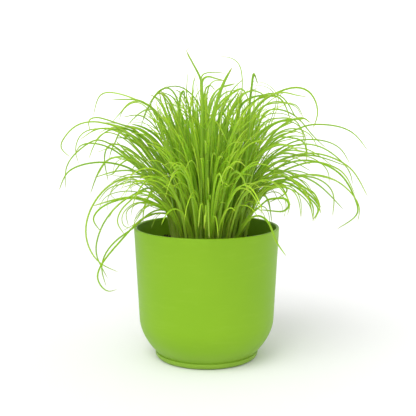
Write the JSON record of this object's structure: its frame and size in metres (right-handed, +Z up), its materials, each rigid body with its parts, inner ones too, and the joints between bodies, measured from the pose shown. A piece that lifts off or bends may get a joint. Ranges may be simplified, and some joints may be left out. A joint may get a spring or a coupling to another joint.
{
  "type": "potted umbrella sedge",
  "caption": "Round flared pot with a low foot, filled with soil, holding a dense fan of upright sedge stems and long thin leaves that arch over the rim all round.",
  "frame": {"origin": "on the pot's axis, on the underside of its foot, which rests on the surface", "axes": "+Z up along the pot's axis, and the front view of the picture looks along +Y with +X to the right"},
  "size_m": [0.2976, 0.2999, 0.2929],
  "materials": {
    "pot": "moulded lime green plastic, satin, slightly uneven",
    "soil": "crumbly dark brown potting soil with fibres",
    "stems": "smooth green sedge stems, paler at the foot",
    "leaves": "fresh yellow-green blades with fine lengthwise veins and a keel"
  },
  "bodies": {
    "root": {"pot": "pot", "soil": "soil", "stem_clump": "stems", "leaf_left_01": "leaves", "leaf_left_02": "leaves", "leaf_left_03": "leaves", "leaf_left_04": "leaves", "leaf_left_05": "leaves", "leaf_left_06": "leaves", "leaf_left_07": "leaves", "leaf_left_08": "leaves", "leaf_left_09": "leaves", "leaf_left_10": "leaves", "leaf_left_11": "leaves", "leaf_left_12": "leaves", "leaf_left_13": "leaves", "leaf_left_14": "leaves", "leaf_left_15": "leaves", "leaf_left_16": "leaves", "leaf_left_17": "leaves", "leaf_left_18": "leaves", "leaf_left_19": "leaves", "leaf_right_01": "leaves", "leaf_right_02": "leaves", "leaf_right_03": "leaves", "leaf_right_04": "leaves", "leaf_right_05": "leaves", "leaf_right_06": "leaves", "leaf_right_07": "leaves", "leaf_right_08": "leaves", "leaf_right_09": "leaves", "leaf_right_10": "leaves", "leaf_right_11": "leaves", "leaf_right_12": "leaves", "leaf_right_13": "leaves", "leaf_right_14": "leaves", "leaf_right_15": "leaves", "leaf_right_16": "leaves", "leaf_right_17": "leaves", "leaf_right_18": "leaves", "leaf_right_19": "leaves", "leaf_tall_01": "leaves", "leaf_tall_02": "leaves", "leaf_tall_03": "leaves", "leaf_tall_04": "leaves", "leaf_tall_05": "leaves", "leaf_tall_06": "leaves", "leaf_tall_07": "leaves", "leaf_arching_01": "leaves", "leaf_arching_02": "leaves", "leaf_arching_03": "leaves", "leaf_arching_04": "leaves", "leaf_arching_05": "leaves", "leaf_arching_06": "leaves", "leaf_arching_07": "leaves", "leaf_arching_08": "leaves", "leaf_arching_09": "leaves", "leaf_arching_10": "leaves"}
  },
  "joints": []
}
